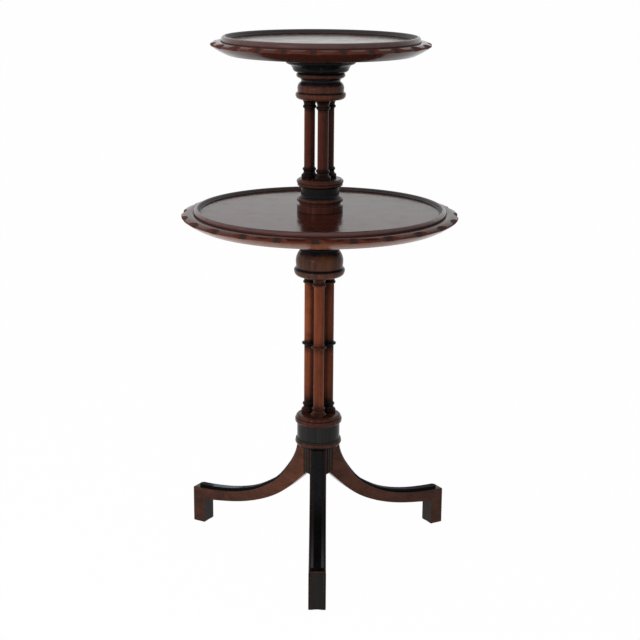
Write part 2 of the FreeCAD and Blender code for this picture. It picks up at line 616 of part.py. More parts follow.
def make_upper_stage():
    """Everything that turns above the lower tray."""
    make_pedestal()
    names = ["a", "b", "c"]
    for name, angle in zip(names, leg_angles(UPPER_STAGE_TURN)):
        shape = column(UPPER_COLUMN_FOOT, UPPER_COLUMN_LENGTH, angle, False)
        keep("upper_column_" + name, shape)
    core_foot = UPPER_NECK_FOOT - STAGE_CORE_ROOT
    core = rod(STAGE_CORE_RADIUS, core_foot, UPPER_TRAY_FOOT - STAGE_CORE_HEAD - core_foot)
    keep("stage_core_dowel", core)
    cap = moulding(UPPER_CAP_SHARES, UPPER_CAP_RADIUS, UPPER_CAP_FOOT, UPPER_CAP_HEIGHT)
    keep("upper_cap", cap.cut(column_sockets(UPPER_CAP_FOOT, UPPER_STAGE_TURN)).cut(core))
    neck = moulding(NECK_SHARES, NECK_RADIUS, UPPER_NECK_FOOT, NECK_HEIGHT)
    keep("upper_neck_ring", neck.cut(core))
    fixings = screws(UPPER_TRAY_FOOT)
    keep("upper_tray_screws", fixings)
    keep("upper_tray_boss", boss(UPPER_BOSS_FOOT, UPPER_BOSS_HEIGHT).cut(core))
    board = tray_board(UPPER_TRAY_RADIUS, UPPER_RIM_RADIUS, UPPER_TRAY_FOOT, UPPER_TRAY_TOP,
                       UPPER_UNDER_WIDTH, UPPER_TRAY_NOTCH_ANGLE)
    keep("upper_tray_board", board.cut(fixings))
    keep("upper_tray_rim", tray_rim(UPPER_RIM_RADIUS, UPPER_TRAY_TOP, UPPER_RIM_CREST))


def write_pieces():
    """Writes one STEP file for each piece."""
    os.makedirs("parts", exist_ok=True)
    for name, shape in pieces.items():
        if not shape.isValid():
            print("not valid:", name)
        shape.exportStep("parts/" + name + ".step")
        print(name, len(shape.Solids), round(shape.Volume))


make_stand_base()
make_stand_top()
make_lower_tray()
make_upper_stage()
write_pieces()
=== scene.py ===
import bpy
import math
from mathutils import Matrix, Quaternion, Vector


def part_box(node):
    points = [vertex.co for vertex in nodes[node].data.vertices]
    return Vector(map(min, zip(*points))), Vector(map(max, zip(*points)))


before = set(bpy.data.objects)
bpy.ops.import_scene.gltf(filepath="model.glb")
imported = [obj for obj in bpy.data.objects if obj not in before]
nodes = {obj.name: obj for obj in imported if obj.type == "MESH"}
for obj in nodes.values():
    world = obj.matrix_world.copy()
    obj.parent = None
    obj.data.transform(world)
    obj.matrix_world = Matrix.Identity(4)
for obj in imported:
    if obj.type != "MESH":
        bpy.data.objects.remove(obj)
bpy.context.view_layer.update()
bpy.ops.object.select_all(action="DESELECT")


# Node helpers

def paint(red, green, blue):
    """A colour as a colour card gives it, 0 to 255, in the renderer's linear units."""
    channels = []
    for value in (red, green, blue):
        share = value / 255
        channels.append(share / 12.92 if share < 0.04045 else ((share + 0.055) / 1.055) ** 2.4)
    return (*channels, 1)


def feed(tree, socket, value):
    """Links a socket to another one, or sets it to a plain value."""
    if isinstance(value, bpy.types.NodeSocket):
        tree.links.new(value, socket)
    else:
        socket.default_value = value


def add(tree, kind, inputs=(), **settings):
    """A shader node with its settings, and its inputs fed by name or number."""
    made = tree.nodes.new(kind)
    for key, value in settings.items():
        setattr(made, key, value)
    for key, value in dict(inputs).items():
        feed(tree, made.inputs[key], value)
    return made


def work_out(tree, operation, first, second=0.0, third=0.0):
    """One step of arithmetic, such as MULTIPLY or MAXIMUM."""
    inputs = {0: first, 1: second, 2: third}
    return add(tree, "ShaderNodeMath", inputs, operation=operation).outputs[0]


def spread(tree, value, start, full, at_start=0.0, at_full=1.0):
    """How far the value has come from start to full, held between the two results."""
    inputs = {"Value": value, "From Min": start, "From Max": full, "To Min": at_start,
              "To Max": at_full}
    return add(tree, "ShaderNodeMapRange", inputs).outputs["Result"]


def blend_values(tree, share, first, second):
    return add(tree, "ShaderNodeMix", {0: share, 2: first, 3: second}).outputs[0]


def blend_colours(tree, share, first, second):
    inputs = {0: share, 6: first, 7: second}
    return add(tree, "ShaderNodeMix", inputs, data_type="RGBA").outputs[2]


def own_place(tree):
    """The place of a point in the piece's own coordinates."""
    return add(tree, "ShaderNodeTexCoord").outputs["Object"]


def own_normal(tree):
    """The way a face looks, in the piece's own coordinates."""
    return add(tree, "ShaderNodeTexCoord").outputs["Normal"]


def parts_of(tree, vector):
    """X, Y and Z of a place or a direction."""
    return add(tree, "ShaderNodeSeparateXYZ", {0: vector}).outputs


def scaled(tree, vector, factors):
    inputs = {0: vector, 1: factors}
    return add(tree, "ShaderNodeVectorMath", inputs, operation="MULTIPLY").outputs[0]


def agree(tree, first, second):
    """How far two directions agree: 1 when they are the same, 0 when square to each other."""
    made = add(tree, "ShaderNodeVectorMath", {0: first, 1: second}, operation="DOT_PRODUCT")
    return made.outputs["Value"]


def cloud(tree, vector, scale, detail=2.0, roughness=0.5, distortion=0.0):
    """Soft, uneven patches."""
    inputs = {"Vector": vector, "Scale": scale, "Detail": detail, "Roughness": roughness,
              "Distortion": distortion}
    return add(tree, "ShaderNodeTexNoise", inputs).outputs["Fac"]


def new_effect(name, inputs, outputs):
    """An empty effect group with named sockets: (tree, inputs by name, outputs to link)."""
    tree = bpy.data.node_groups.new(name, "ShaderNodeTree")
    for label, kind, value in inputs:
        socket = tree.interface.new_socket(label, in_out="INPUT", socket_type="NodeSocket" + kind)
        if value is not None:
            socket.default_value = value
    for label, kind in outputs:
        tree.interface.new_socket(label, in_out="OUTPUT", socket_type="NodeSocket" + kind)
    entry = tree.nodes.new("NodeGroupInput")
    leave = tree.nodes.new("NodeGroupOutput")
    return tree, entry.outputs, leave.inputs


def place_effect(tree, effect, inputs):
    """The outputs of an effect group, placed in a material with its own values."""
    return add(tree, "ShaderNodeGroup", inputs, node_tree=effect).outputs


# Effects

FIGURE_STRETCH = (1, 1, 0.07)
STREAK_STRETCH = (1, 1, 0.035)
EDGE_WIDTH = 0.0012
BEVEL_SAMPLES = 6
CREVICE_SHADE_SAMPLES = 8
SCOOP_COUNT = 24.0
SCUFF_RAGGED_LENGTH = 0.014

# Ranges of an effect: where it starts, where it is full and, if not 0 and 1, its results there

FIGURE_RANGE = (0.32, 0.68)
PORE_RANGE = (0.58, 0.70)
RUBBED_RANGE = (0.42, 0.72)
WORN_RANGE = (0.985, 0.86)
BROKEN_WEAR_RANGE = (0.36, 0.62)
HIDDEN_RANGE = (0.80, 0.35)
BAND_EDGE_RANGE = (0.3, 0.7, -0.18, 0.18)
COVERED_RANGE = (0.05, 0.95)
BELOW_TOP_RANGE = (0.86, 0.80)
ABOVE_UNDERSIDE_RANGE = (-0.45, -0.30)
SCOOP_LIFT_RANGE = (0.3, 0.55)
SCOOP_MIDDLE_RANGE = (0.62, 0.92)
UNDERSIDE_RANGE = (-0.93, -0.98)
OUTWARDS_RANGE = (-0.25, 0.45)
OFF_SIDE_RANGE = (0.85, 0.5)
OFF_UNDERSIDE_RANGE = (-0.3, 0.0)
RAGGED_RANGE = (0.3, 0.7, -0.5, 0.5)
SCUFF_START_RANGE = (0.0, 0.12)
SCUFF_END_RANGE = (1.0, 0.7)
SCUFF_TOP_RANGE = (0.86, 0.93)


def make_wood_figure():
    """Broad figure, streaks and open pores of mahogany, running along the pattern's Z."""
    tree, take, give = new_effect("wood figure", [
        ("Vector", "Vector", None), ("Figure Scale", "Float", 30.0),
        ("Streak Scale", "Float", 150.0), ("Pore Scale", "Float", 900.0),
        ("Light", "Color", (1, 1, 1, 1)), ("Dark", "Color", (0, 0, 0, 1)),
        ("Pore", "Color", (0, 0, 0, 1)), ("Streak Share", "Float", 0.5),
        ("Contrast", "Float", 0.5)],
        [("Color", "Color"), ("Pores", "Float")])
    along = scaled(tree, take["Vector"], FIGURE_STRETCH)
    fine = scaled(tree, take["Vector"], STREAK_STRETCH)
    figure = cloud(tree, along, take["Figure Scale"], detail=3.0, roughness=0.55, distortion=0.5)
    streak = cloud(tree, fine, take["Streak Scale"], detail=3.0, roughness=0.6, distortion=0.2)
    mixed = blend_values(tree, take["Streak Share"], figure, streak)
    share = spread(tree, mixed, *FIGURE_RANGE)
    colour = blend_colours(tree, share, take["Dark"], take["Light"])
    pores = cloud(tree, fine, take["Pore Scale"], roughness=0.6)
    pores = spread(tree, pores, *PORE_RANGE)
    pores = work_out(tree, "MULTIPLY", pores, take["Contrast"])
    tree.links.new(blend_colours(tree, pores, colour, take["Pore"]), give["Color"])
    tree.links.new(pores, give["Pores"])
    return tree


def make_old_polish():
    """Rubbed and cloudy places in an old hand polish, and its slight waviness."""
    tree, take, give = new_effect("old polish", [
        ("Vector", "Vector", None), ("Gloss", "Float", 0.1), ("Rubbed", "Float", 0.3),
        ("Patch Scale", "Float", 22.0)],
        [("Roughness", "Float"), ("Waves", "Float")])
    patches = cloud(tree, take["Vector"], take["Patch Scale"], detail=4.0, roughness=0.6,
                    distortion=0.4)
    share = spread(tree, patches, *RUBBED_RANGE)
    rough = blend_values(tree, share, take["Gloss"], take["Rubbed"])
    tree.links.new(rough, give["Roughness"])
    tree.links.new(cloud(tree, take["Vector"], scale=45.0), give["Waves"])
    return tree


def make_worn_edge():
    """Colour rubbed away along sharp edges, in broken lengths, and the rounding of the edge."""
    tree, take, give = new_effect("worn edge", [
        ("Vector", "Vector", None), ("Color", "Color", (0, 0, 0, 1)),
        ("Wear", "Color", (1, 1, 1, 1)), ("Width", "Float", EDGE_WIDTH), ("Amount", "Float", 0.5)],
        [("Color", "Color"), ("Normal", "Vector")])
    soft = add(tree, "ShaderNodeBevel", {"Radius": take["Width"]}, samples=BEVEL_SAMPLES).outputs[0]
    plain = add(tree, "ShaderNodeNewGeometry").outputs["Normal"]
    edge = spread(tree, agree(tree, soft, plain), *WORN_RANGE)
    broken = cloud(tree, take["Vector"], scale=130.0, detail=3.0, roughness=0.65)
    edge = work_out(tree, "MULTIPLY", edge, spread(tree, broken, *BROKEN_WEAR_RANGE))
    edge = work_out(tree, "MULTIPLY", edge, take["Amount"])
    tree.links.new(blend_colours(tree, edge, take["Color"], take["Wear"]), give["Color"])
    tree.links.new(soft, give["Normal"])
    return tree


def make_crevice_shade():
    """Painted shade: a darker colour where two members meet and hide each other."""
    tree, take, give = new_effect("painted crevice shade", [
        ("Color", "Color", (1, 1, 1, 1)), ("Painted Shade", "Color", (0, 0, 0, 1)),
        ("Reach", "Float", 0.006), ("Amount", "Float", 0.8)],
        [("Color", "Color")])
    open_sky = add(tree, "ShaderNodeAmbientOcclusion", {"Distance": take["Reach"]},
                   samples=CREVICE_SHADE_SAMPLES)
    hidden = spread(tree, open_sky.outputs["AO"], *HIDDEN_RANGE)
    hidden = work_out(tree, "MULTIPLY", hidden, take["Amount"])
    tree.links.new(blend_colours(tree, hidden, take["Color"], take["Painted Shade"]), give["Color"])
    return tree


def make_tone_bands():
    """A second colour laid on in bands up a piece's height, with ragged, fading edges; on several
    pieces the bands are painted shade, and under the lower tray painted light.
    """
    tree, take, give = new_effect("tone bands", [
        ("Vector", "Vector", None), ("Color", "Color", (1, 1, 1, 1)),
        ("Band Colour", "Color", (0, 0, 0, 1)), ("Coverage", "Float", 0.0)],
        [("Color", "Color")])
    band_edge = cloud(tree, take["Vector"], scale=55.0, detail=3.0, roughness=0.6, distortion=0.3)
    band_edge = spread(tree, band_edge, *BAND_EDGE_RANGE)
    covered = work_out(tree, "ADD", take["Coverage"], band_edge)
    covered = spread(tree, covered, *COVERED_RANGE)
    tree.links.new(blend_colours(tree, covered, take["Color"], take["Band Colour"]), give["Color"])
    return tree


def make_carver_marks():
    """Faces scooped out of a tray's edge, the middle of each scoop for painted shade, and the
    unpolished underside.
    """
    tree, take, give = new_effect("carver's marks", [
        ("Vector", "Vector", None), ("Count", "Float", SCOOP_COUNT), ("Turn", "Float", 0.0)],
        [("Bare", "Float"), ("Carved", "Float"), ("Middle", "Float")])
    lift = parts_of(tree, own_normal(tree))["Z"]
    carved = work_out(tree, "MULTIPLY", spread(tree, lift, *BELOW_TOP_RANGE),
                      spread(tree, lift, *ABOVE_UNDERSIDE_RANGE))
    place = parts_of(tree, take["Vector"])
    around = work_out(tree, "ARCTAN2", place["Y"], place["X"])
    around = work_out(tree, "MULTIPLY_ADD", around, take["Count"], take["Turn"])
    wave = work_out(tree, "COSINE", around)
    scoop = work_out(tree, "MULTIPLY", spread(tree, lift, *SCOOP_LIFT_RANGE),
                     spread(tree, wave, *SCOOP_MIDDLE_RANGE))
    under = spread(tree, lift, *UNDERSIDE_RANGE)
    tree.links.new(work_out(tree, "MAXIMUM", carved, under), give["Bare"])
    tree.links.new(carved, give["Carved"])
    tree.links.new(work_out(tree, "MULTIPLY", scoop, carved), give["Middle"])
    return tree


def make_ring_sides():
    """How far a face of a ring looks outwards from the ring's middle."""
    tree, take, give = new_effect("ring sides", [("Vector", "Vector", None)],
                                  [("Outwards", "Float")])
    away = scaled(tree, take["Vector"], (1, 1, 0))
    away = add(tree, "ShaderNodeVectorMath", {0: away}, operation="NORMALIZE").outputs[0]
    outwards = spread(tree, agree(tree, away, own_normal(tree)), *OUTWARDS_RANGE)
    tree.links.new(outwards, give["Outwards"])
    return tree


def make_leg_margins():
    """How far a face of a leg looks up or outwards instead of to the leg's sides."""
    tree, take, give = new_effect("leg margins", [("Across", "Vector", None)],
                                  [("Margin", "Float")])
    normal = own_normal(tree)
    sideways = work_out(tree, "ABSOLUTE", agree(tree, take["Across"], normal))
    lift = parts_of(tree, normal)["Z"]
    margin = work_out(tree, "MULTIPLY", spread(tree, sideways, *OFF_SIDE_RANGE),
                      spread(tree, lift, *OFF_UNDERSIDE_RANGE))
    tree.links.new(margin, give["Margin"])
    return tree


def make_scuff_and_painted_sheen():
    """Black rubbed to grey on the top of a piece over part of its length, partly real rubbing and
    partly a painted sheen.
    """
    tree, take, give = new_effect("scuff_and_painted_sheen", [
        ("Vector", "Vector", None), ("Color", "Color", (0, 0, 0, 1)),
        ("Bare", "Color", (1, 1, 1, 1)), ("From", "Float", 0.0), ("To", "Float", 1.0)],
        [("Color", "Color")])
    along = parts_of(tree, take["Vector"])["X"]
    broken = cloud(tree, take["Vector"], scale=60.0, detail=3.0, roughness=0.6)
    broken = spread(tree, broken, *RAGGED_RANGE)
    ragged = work_out(tree, "MULTIPLY_ADD", broken, SCUFF_RAGGED_LENGTH, along)
    way = spread(tree, ragged, take["From"], take["To"])
    share = spread(tree, way, *SCUFF_START_RANGE)
    share = work_out(tree, "MULTIPLY", share, spread(tree, way, *SCUFF_END_RANGE))
    lift = parts_of(tree, own_normal(tree))["Z"]
    share = work_out(tree, "MULTIPLY", share, spread(tree, lift, *SCUFF_TOP_RANGE))
    tree.links.new(blend_colours(tree, share, take["Color"], take["Bare"]), give["Color"])
    return tree


WOOD_FIGURE = make_wood_figure()
LEG_MARGINS = make_leg_margins()
SCUFF_AND_PAINTED_SHEEN = make_scuff_and_painted_sheen()
CARVER_MARKS = make_carver_marks()
RING_SIDES = make_ring_sides()
TONE_BANDS = make_tone_bands()
OLD_POLISH = make_old_polish()
WORN_EDGE = make_worn_edge()
PAINTED_CREVICE_SHADE = make_crevice_shade()


# Finishes

UPRIGHT = (0, 0, 0)
ACROSS = (0, math.radians(90), 0)
# Dark blue-grey for the painted shade on the caps and the neck ring.
NAVY_PAINTED_SHADE = (17, 19, 25)
# Colour of the painted shade where members meet.
CREVICE_SHADE_COLOUR = (12, 8, 7)
PORE_DEPTH = 0.00006
PORE_STRENGTH = 0.6
CUT_SHARE = 0.85
# How strongly painted shade darkens the middle of each scoop.
SCOOP_SHADE_SHARE = 0.9
BARE_ROUGHNESS = 0.6
RIM_INSIDE_ROUGHNESS = 0.5
RIM_INSIDE_RANGE = (0.25, 0.0)
METAL_RUBBED = 0.25
TURNING_STRETCH = (0.02, 0.02, 1)
TURNING_SCALE = 1500.0
TURNING_DEPTH = 0.00002
TURNING_SHADE = 0.6
TURNING_RANGE = (0.3, 0.7, 0.0, 0.35)
METAL_PATCH_SCALE = 60.0


def new_finish(name):
    made = bpy.data.materials.new(name)
    made.use_nodes = True
    tree = made.node_tree
    return made, tree, tree.nodes["Principled BSDF"]


def grain_place(tree, lay):
    """The piece's own coordinates, turned so that the grain runs along Z."""
    inputs = {"Vector": own_place(tree), "Rotation": lay}
    return add(tree, "ShaderNodeMapping", inputs).outputs[0]


def leg_lay(angle):
    """Grain that follows a leg outwards at this angle."""
    return (0, math.radians(90), math.radians(angle))


def band_cover(tree, node, covers):
    """How much of the band colour covers a piece, given at shares of the height of a node."""
    low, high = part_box(node)
    share = spread(tree, parts_of(tree, own_place(tree))["Z"], low[2], high[2])
    ramp = add(tree, "ShaderNodeValToRGB", {"Fac": share})
    stops = ramp.color_ramp.elements
    while len(stops) < len(covers):
        stops.new(0.5)
    for stop, (height, cover) in zip(stops, covers):
        stop.position = height
        stop.color = (cover, cover, cover, 1)
    return ramp.outputs["Color"]


def tone_banded(tree, colour, place, band_colour, node, covers):
    """The colour with the band colour over it, in bands up the height of a node."""
    return place_effect(tree, TONE_BANDS, {
        "Vector": place, "Color": colour, "Band Colour": paint(*band_colour),
        "Coverage": band_cover(tree, node, covers)})["Color"]


def margined(tree, colour, angle, margin):
    """The colour on a leg's sides, and the margin's on its other faces."""
    turn = math.radians(angle)
    across = (-math.sin(turn), math.cos(turn), 0)
    share = place_effect(tree, LEG_MARGINS, {"Across": across})["Margin"]
    return blend_colours(tree, share, colour, paint(*margin))


def scuffed_with_painted_sheen(tree, colour, start, end, bare_and_painted_sheen):
    """The colour rubbed to grey on top between two places along X, partly real rubbing and partly a
    painted sheen.
    """
    return place_effect(tree, SCUFF_AND_PAINTED_SHEEN, {
        "Vector": own_place(tree), "Color": colour, "Bare": paint(*bare_and_painted_sheen), "From": start,
        "To": end})["Color"]


def scooped(tree, colour, rough, turn, cut, scoop_shade):
    """Colour and roughness of a tray, with its scoops, painted shade in the middle of each scoop
    and the unpolished underside.
    """
    marks = place_effect(tree, CARVER_MARKS, {
        "Vector": own_place(tree), "Turn": math.radians(turn)})
    cut_share = work_out(tree, "MULTIPLY", marks["Carved"], CUT_SHARE)
    # Painted shade in the middle of each scoop.
    scoop_shade_share = work_out(tree, "MULTIPLY", marks["Middle"], SCOOP_SHADE_SHARE)
    colour = blend_colours(tree, cut_share, colour, paint(*cut))
    colour = blend_colours(tree, scoop_shade_share, colour, paint(*scoop_shade))
    return colour, blend_values(tree, marks["Bare"], rough, BARE_ROUGHNESS)


def shaded_inside(tree, colour, rough, inside):
    """Colour and roughness of a rim, with another colour and less polish on its inner side."""
    outwards = place_effect(tree, RING_SIDES, {"Vector": own_place(tree)})["Outwards"]
    colour = blend_colours(tree, outwards, paint(*inside), colour)
    inner_side = spread(tree, outwards, *RIM_INSIDE_RANGE)
    return colour, blend_values(tree, inner_side, rough, RIM_INSIDE_ROUGHNESS)


def polished_timber(name, light, dark, pore, lay=UPRIGHT, gloss=0.16, rubbed=0.24, specular=0.1,
                    figure=30.0, streak_share=0.5, contrast=0.5, band_colour=(20, 12, 10), bands=None,
                    wear=(150, 90, 60), wear_amount=0.5, shade_amount=0.85, shade_reach=0.006,
                    wave_depth=0.00012, margins=None, scuff_and_painted_sheen=None, inside=None, scoops=None):
    """Wood with its figure, colour bands, worn edges and painted shade where members meet, under an
    old hand polish.
    """
    made, tree, shader = new_finish(name)
    place = grain_place(tree, lay)
    figured = place_effect(tree, WOOD_FIGURE, {
        "Vector": place, "Figure Scale": figure, "Light": paint(*light), "Dark": paint(*dark),
        "Pore": paint(*pore), "Streak Share": streak_share, "Contrast": contrast})
    polish = place_effect(tree, OLD_POLISH, {"Vector": place, "Gloss": gloss, "Rubbed": rubbed})
    colour, rough = figured["Color"], polish["Roughness"]
    if bands:
        colour = tone_banded(tree, colour, place, band_colour, **bands)
    if margins:
        colour = margined(tree, colour, **margins)
    if scuff_and_painted_sheen:
        colour = scuffed_with_painted_sheen(tree, colour, **scuff_and_painted_sheen)
    if inside:
        colour, rough = shaded_inside(tree, colour, rough, inside)
    if scoops:
        colour, rough = scooped(tree, colour, rough, **scoops)
    worn = place_effect(tree, WORN_EDGE, {
        "Vector": place, "Color": colour, "Wear": paint(*wear), "Amount": wear_amount})
    # Painted shade where members meet, darker where a point is more hidden.
    crevice_shaded = place_effect(tree, PAINTED_CREVICE_SHADE, {
        "Color": worn["Color"], "Painted Shade": paint(*CREVICE_SHADE_COLOUR), "Amount": shade_amount, "Reach": shade_reach})
    waves = add(tree, "ShaderNodeBump", {
        "Height": polish["Waves"], "Distance": wave_depth, "Normal": worn["Normal"]})
    pores = add(tree, "ShaderNodeBump", {
        "Height": figured["Pores"], "Distance": PORE_DEPTH, "Strength": PORE_STRENGTH,
        "Normal": waves.outputs[0]}, invert=True)
    feed(tree, shader.inputs["Base Color"], crevice_shaded["Color"])
    feed(tree, shader.inputs["Roughness"], rough)
    feed(tree, shader.inputs["Normal"], pores.outputs[0])
    feed(tree, shader.inputs["Specular IOR Level"], specular)
    return made


def turned_metal(name, colour, roughness):
    """Metal with the fine rings that a lathe leaves."""
    made, tree, shader = new_finish(name)
    place = own_place(tree)
    rings = cloud(tree, scaled(tree, place, TURNING_STRETCH), TURNING_SCALE, roughness=0.6)
    polish = place_effect(tree, OLD_POLISH, {
        "Vector": place, "Gloss": roughness, "Rubbed": roughness + METAL_RUBBED,
        "Patch Scale": METAL_PATCH_SCALE})
    shade = paint(*[value * TURNING_SHADE for value in colour])
    dull = blend_colours(tree, spread(tree, rings, *TURNING_RANGE), paint(*colour), shade)
    bump = add(tree, "ShaderNodeBump", {"Height": rings, "Distance": TURNING_DEPTH})
    feed(tree, shader.inputs["Base Color"], dull)
    feed(tree, shader.inputs["Roughness"], polish["Roughness"])
    feed(tree, shader.inputs["Normal"], bump.outputs[0])
    feed(tree, shader.inputs["Metallic"], 1.0)
    return made


# Band colour up the height of a piece, as (share of the height, share covered). The caps, the neck
# ring, the upper tray and the front strip get painted shade this way, and the lower tray painted
# light; on the columns and legs the bands make the wood darker at the listed heights.

REAR_COLUMN_COVERS = [
    (0.0, 0.0), (0.03, 0.5), (0.06, 0.95), (0.12, 0.9), (0.15, 0.4), (0.23, 0.1), (0.43, 0.0),
    (0.465, 0.5), (0.49, 1.0), (0.52, 1.0), (0.54, 0.4), (0.60, 0.05), (0.89, 0.1),
    (0.925, 0.95), (1.0, 1.0)]
FRONT_COLUMN_COVERS = [
    (0.0, 0.8), (0.06, 0.85), (0.10, 0.7), (0.13, 0.2), (0.20, 0.0), (0.44, 0.0), (0.48, 0.5),
    (0.51, 0.6), (0.54, 0.3), (0.58, 0.0), (0.90, 0.0), (0.925, 0.9), (0.94, 0.75), (1.0, 0.85)]
UPPER_COLUMN_COVERS = [
    (0.0, 0.9), (0.17, 0.9), (0.21, 0.2), (0.78, 0.1), (0.82, 0.9), (1.0, 1.0)]
# Painted shade in the quirk above the cap's torus and over the cap's top under the tray.
UPPER_CAP_PAINTED_SHADE = [
    (0.0, 0.1), (0.33, 0.05), (0.36, 0.95), (0.42, 0.95), (0.455, 0.1), (0.78, 0.15),
    (0.84, 0.85), (1.0, 0.95)]
# Painted shade in the quirk above the cap's torus and over the cap's top under the tray.
LOWER_CAP_PAINTED_SHADE = [
    (0.0, 0.3), (0.05, 0.1), (0.22, 0.05), (0.26, 0.95), (0.32, 0.95), (0.36, 0.1),
    (0.82, 0.2), (0.90, 0.85), (1.0, 0.95)]
# Painted shade at the bottom and the top of the neck ring.
NECK_RING_PAINTED_SHADE = [(0.0, 0.8), (0.38, 0.85), (0.46, 0.1), (0.78, 0.1), (0.88, 0.9), (1.0, 1.0)]
# Painted light: a paler, warmer colour over the lower part of the board, its underside.
LOWER_TRAY_PAINTED_LIGHT = [(0.0, 0.9), (0.3, 0.9), (0.55, 0.6), (0.7, 0.1), (1.0, 0.0)]
# Painted shade: a darker colour over the lower part of the board, its underside.
UPPER_TRAY_PAINTED_SHADE = [(0.0, 0.9), (0.3, 0.8), (0.5, 0.5), (0.65, 0.1), (1.0, 0.0)]
# Painted shade: the strip darker on its lower part, towards the foot.
FRONT_STRIP_PAINTED_SHADE = [(0.0, 0.95), (0.25, 0.85), (0.36, 0.2), (0.5, 0.0), (1.0, 0.0)]
LEG_COVERS = [(0.0, 0.5), (0.3, 0.4), (0.42, 0.15), (0.6, 0.0), (1.0, 0.0)]

# What several finishes share

LOWER_COLUMN = dict(specular=0.05, shade_amount=1.0, figure=45, streak_share=0.35)
TRAY = dict(light=(78, 34, 24), dark=(42, 18, 14), pore=(24, 11, 9), lay=ACROSS, gloss=0.12,
            rubbed=0.20, wave_depth=0.00006, wear_amount=0.3)
REAR_STRIP = dict(light=(14, 14, 15), dark=(9, 9, 9), pore=(6, 6, 6), wear_amount=0.0,
                  specular=0.01, gloss=0.3, rubbed=0.4)
LEG = dict(light=(90, 52, 36), dark=(54, 30, 22), pore=(26, 14, 11), streak_share=0.4,
           contrast=0.25)

# The finishes of the wooden pieces, with colours from 0 to 255 and angles in degrees

TIMBERS = {
    # The columns' painted shade where members meet reaches far, to darken them where they stand
    # close together.
    "front column mahogany": dict(
        LOWER_COLUMN, light=(122, 62, 39), dark=(56, 28, 20), pore=(26, 12, 9), shade_reach=0.03,
        bands=dict(node="lower_column_front", covers=FRONT_COLUMN_COVERS)),
    "column mahogany": dict(
        LOWER_COLUMN, light=(132, 68, 40), dark=(60, 31, 22), pore=(24, 12, 9), shade_reach=0.038,
        bands=dict(node="lower_column_front", covers=REAR_COLUMN_COVERS)),
    "upper column mahogany": dict(
        light=(84, 40, 28), dark=(46, 21, 16), pore=(20, 10, 9), specular=0.05, shade_amount=1.0,
        shade_reach=0.032, bands=dict(node="upper_column_a", covers=UPPER_COLUMN_COVERS)),
    # The caps and the neck ring get bands of painted shade.
    "upper cap mahogany": dict(
        light=(90, 48, 32), dark=(48, 28, 23), pore=(18, 9, 8), streak_share=0.6, figure=22,
        band_colour=NAVY_PAINTED_SHADE, bands=dict(node="upper_cap", covers=UPPER_CAP_PAINTED_SHADE)),
    "lower cap mahogany": dict(
        light=(92, 54, 34), dark=(50, 34, 29), pore=(18, 9, 8), streak_share=0.6, figure=22,
        gloss=0.22, rubbed=0.3, band_colour=NAVY_PAINTED_SHADE,
        bands=dict(node="lower_cap", covers=LOWER_CAP_PAINTED_SHADE)),
    "hub mahogany": dict(
        light=(52, 36, 26), dark=(28, 20, 16), pore=(14, 9, 8), streak_share=0.6),
    "neck ring mahogany": dict(
        light=(72, 40, 28), dark=(38, 22, 18), pore=(18, 9, 8), streak_share=0.6, band_colour=NAVY_PAINTED_SHADE,
        bands=dict(node="upper_neck_ring", covers=NECK_RING_PAINTED_SHADE)),
    "moulding mahogany": dict(
        light=(74, 38, 28), dark=(40, 21, 17), pore=(18, 9, 8), streak_share=0.6),
    # Under the lower tray the band colour is painted light; the darker of the scoops' two colours
    # is painted shade in the middle of each scoop.
    "lower tray mahogany": dict(
        TRAY, band_colour=(122, 77, 56),
        bands=dict(node="lower_tray_board", covers=LOWER_TRAY_PAINTED_LIGHT),
        scoops=dict(turn=40.8, cut=(76, 36, 25), scoop_shade=(34, 26, 24))),
    # Under the upper tray the band colour is painted shade, and so is the darker of the scoops' two
    # colours in the middle of each scoop.
    "upper tray mahogany": dict(
        TRAY, band_colour=(50, 28, 20),
        bands=dict(node="upper_tray_board", covers=UPPER_TRAY_PAINTED_SHADE),
        scoops=dict(turn=88.8, cut=(80, 38, 28), scoop_shade=(36, 27, 25))),
    "rim mahogany": dict(
        light=(84, 50, 48), dark=(56, 33, 32), pore=(32, 19, 18), lay=ACROSS, gloss=0.20,
        rubbed=0.26, specular=0.36, inside=(28, 21, 22)),
    "ebonised wood": dict(
        light=(21, 21, 21), dark=(13, 13, 13), pore=(8, 8, 8), wear=(70, 56, 48),
        wear_amount=0.3, specular=0.07, rubbed=0.26),
    "ebonised drum": dict(
        light=(36, 36, 35), dark=(26, 26, 25), pore=(14, 14, 14), wear=(70, 56, 48),
        wear_amount=0.3, specular=0.088, rubbed=0.26),
    # The front strip's band colour is painted shade towards its foot.
    "ebonised strip": dict(
        light=(24, 24, 26), dark=(14, 14, 15), pore=(8, 8, 8), wear=(60, 52, 46),
        wear_amount=0.1, specular=0.028, gloss=0.2, rubbed=0.3, band_colour=(8, 8, 9),
        bands=dict(node="leg_strip_front", covers=FRONT_STRIP_PAINTED_SHADE)),
    "ebonised rear strip": REAR_STRIP,
    # On the left strip's top towards its foot the black is rubbed to grey, partly real rubbing and
    # partly a painted sheen.
    "rear strip with scuff and painted sheen": dict(
        REAR_STRIP, scuff_and_painted_sheen=dict(start=-0.236, end=-0.160, bare_and_painted_sheen=(100, 105, 110))),
    "ebonised facing": dict(
        light=(37, 36, 35), dark=(27, 26, 25), pore=(14, 14, 14), wear=(60, 52, 46),
        wear_amount=0.2, specular=0.038, gloss=0.25, rubbed=0.35),
    "plain wood": dict(
        light=(190, 160, 120), dark=(150, 118, 82), pore=(110, 80, 55), gloss=0.6, rubbed=0.7),
}
finishes = {name: polished_timber(name, **recipe) for name, recipe in TIMBERS.items()}
finishes["brass"] = turned_metal("brass", colour=(205, 170, 105), roughness=0.28)
finishes["steel"] = turned_metal("steel", colour=(170, 170, 172), roughness=0.30)
